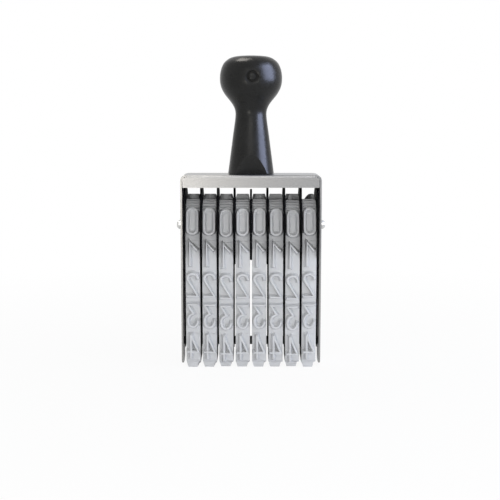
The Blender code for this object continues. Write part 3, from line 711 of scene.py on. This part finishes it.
def facet_cutter(turn):
    """Leaning block that cuts one flat at the handle's foot."""
    depth = facet_cutter_depth
    shape = bmesh.new()
    bmesh.ops.create_cube(shape, size=1)
    bmesh.ops.scale(shape, vec=(4 * depth, depth, 4 * depth), verts=shape.verts)
    flat = scratch("flat", mesh_from("flat", shape))
    foot = Matrix.Translation((0, -facet_foot, handle_base))
    lean = Matrix.Rotation(facet_lean, 4, "X")
    middle = Matrix.Translation((0, -depth / 2, 0))
    flat.matrix_world = Matrix.Rotation(facet_turn + turn, 4, "Z") @ foot @ lean @ middle
    return flat


def recess_cutter():
    """Ring with a low boss in it, that cuts the recess in the knob's front."""
    rings = []
    for radius, under in (*recess_places, (recess_places[-1][0], -knob_radius)):
        y = under - knob_radius
        turns = [full_turn * step / recess_steps for step in range(recess_steps)]
        circle = [(radius * math.cos(turn), radius * math.sin(turn)) for turn in turns]
        rings.append([(x, y, recess_height + z) for x, z in circle])
    ring = scratch("ring", rings_mesh("ring", rings))
    ring.rotation_euler.z = handle_turn
    return ring


def make_handle():
    """Handle with its flats, its ring recess and soft edges."""
    handle = scratch("handle_turned", turned_mesh())
    handle.rotation_euler.z = handle_turn
    cutters = [facet_cutter(0), facet_cutter(half_turn), recess_cutter()]
    for cutter in cutters:
        combine(handle, cutter, "DIFFERENCE")
    bevel = handle.modifiers.new("edges", "BEVEL")
    bevel.width = handle_bevel
    bevel.segments = 2
    bevel.limit_method = "ANGLE"
    bevel.angle_limit = math.radians(handle_bevel_angle)
    bevel.use_clamp_overlap = True
    mesh = evaluated(handle)
    for cutter in cutters:
        bpy.data.objects.remove(cutter, do_unlink=True)
    smooth(mesh, handle_sharp_angle)
    add_piece("turned_handle", mesh, "handle_plastic", "root", ["handle"])


def dress_packed_parts():
    """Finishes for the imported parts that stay."""
    slots = {entry["node"]: entry["material_slot"] for entry in frame["record"]["subparts"]}
    for name, item in nodes.items():
        for place in item.material_slots:
            place.material = materials[slots[name]]


def add_light(name, place, target, size, power, colour, mirrored):
    """Soft rectangular light aimed at a point, for highlights alone or for matt surfaces alone."""
    data = bpy.data.lights.new(name, "AREA")
    data.shape = "RECTANGLE"
    data.size, data.size_y = size
    data.energy = power
    data.color = colour
    light = bpy.data.objects.new(name, data)
    bpy.context.scene.collection.objects.link(light)
    light.location = place
    light.visible_diffuse = not mirrored
    light.visible_glossy = mirrored
    aim = Vector(target) - Vector(place)
    light.rotation_euler = aim.to_track_quat("-Z", "Y").to_euler()


def floor_whiteness(tree):
    """Share of plain white in the floor: a little of its shade is kept near the stamp."""
    place = tree.nodes.new("ShaderNodeTexCoord")
    length = tree.nodes.new("ShaderNodeVectorMath")
    length.operation = "LENGTH"
    tree.links.new(place.outputs["Object"], length.inputs[0])
    near, far = floor_white_from, floor_white_to
    return spread(tree, length.outputs["Value"], floor_share_near, 1.0, near, far)


def seen_white(tree, plain, share=None):
    """Shader that is plain white for the camera, in mirrors and through glass, and plain otherwise."""
    path = tree.nodes.new("ShaderNodeLightPath")
    total = path.outputs["Is Camera Ray"]
    for name in ("Is Glossy Ray", "Is Transmission Ray"):
        add = tree.nodes.new("ShaderNodeMath")
        add.operation = "MAXIMUM"
        tree.links.new(total, add.inputs[0])
        tree.links.new(path.outputs[name], add.inputs[1])
        total = add.outputs["Value"]
    scale = tree.nodes.new("ShaderNodeMath")
    scale.operation = "MULTIPLY"
    scale.inputs[1].default_value = 1.0
    if share is not None:
        tree.links.new(share, scale.inputs[1])
    tree.links.new(total, scale.inputs[0])
    white = tree.nodes.new("ShaderNodeBackground" if share is None else "ShaderNodeEmission")
    white.inputs["Strength"].default_value = 1.0
    white.inputs["Color"].default_value = (1, 1, 1, 1)
    mix = tree.nodes.new("ShaderNodeMixShader")
    tree.links.new(scale.outputs["Value"], mix.inputs["Fac"])
    tree.links.new(plain, mix.inputs[1])
    tree.links.new(white.outputs[0], mix.inputs[2])
    return mix.outputs["Shader"]


def make_stage():
    """White floor, white surroundings and soft lamps."""
    world = bpy.data.worlds.new("studio")
    bpy.context.scene.world = world
    world.use_nodes = True
    tree = world.node_tree
    background = tree.nodes["Background"]
    background.inputs["Color"].default_value = (1, 1, 1, 1)
    background.inputs["Strength"].default_value = world_strength
    seen = seen_white(tree, background.outputs["Background"])
    tree.links.new(seen, tree.nodes["World Output"].inputs["Surface"])
    shape = bmesh.new()
    bmesh.ops.create_grid(shape, x_segments=1, y_segments=1, size=floor_half_width)
    mesh = mesh_from("floor", shape)
    floor = scratch("floor", mesh)
    material, shader, tree = new_material("floor", (0.9, 0.9, 0.9), 0.8)
    seen = seen_white(tree, shader.outputs["BSDF"], floor_whiteness(tree))
    tree.links.new(seen, tree.nodes["Material Output"].inputs["Surface"])
    mesh.materials.append(material)
    for name, values in matt_lamps.items():
        add_light(name, *values, mirrored=False)
    for name, values in highlight_lamps.items():
        add_light(name, *values, mirrored=True)


def make_camera():
    """Camera of the photograph."""
    data = bpy.data.cameras.new("camera")
    data.sensor_width = camera_sensor
    data.lens = camera_lens
    data.shift_x, data.shift_y = camera_shift
    data.clip_start = camera_nearest
    camera = bpy.data.objects.new("camera", data)
    bpy.context.scene.collection.objects.link(camera)
    camera.location = camera_place
    camera.rotation_euler = (camera_tilt, 0, 0)
    bpy.context.scene.camera = camera


make_camera()
make_stage()
dress_packed_parts()
make_bands()
make_wheels()
make_handle()

bpy.context.scene.view_settings.view_transform = "Standard"
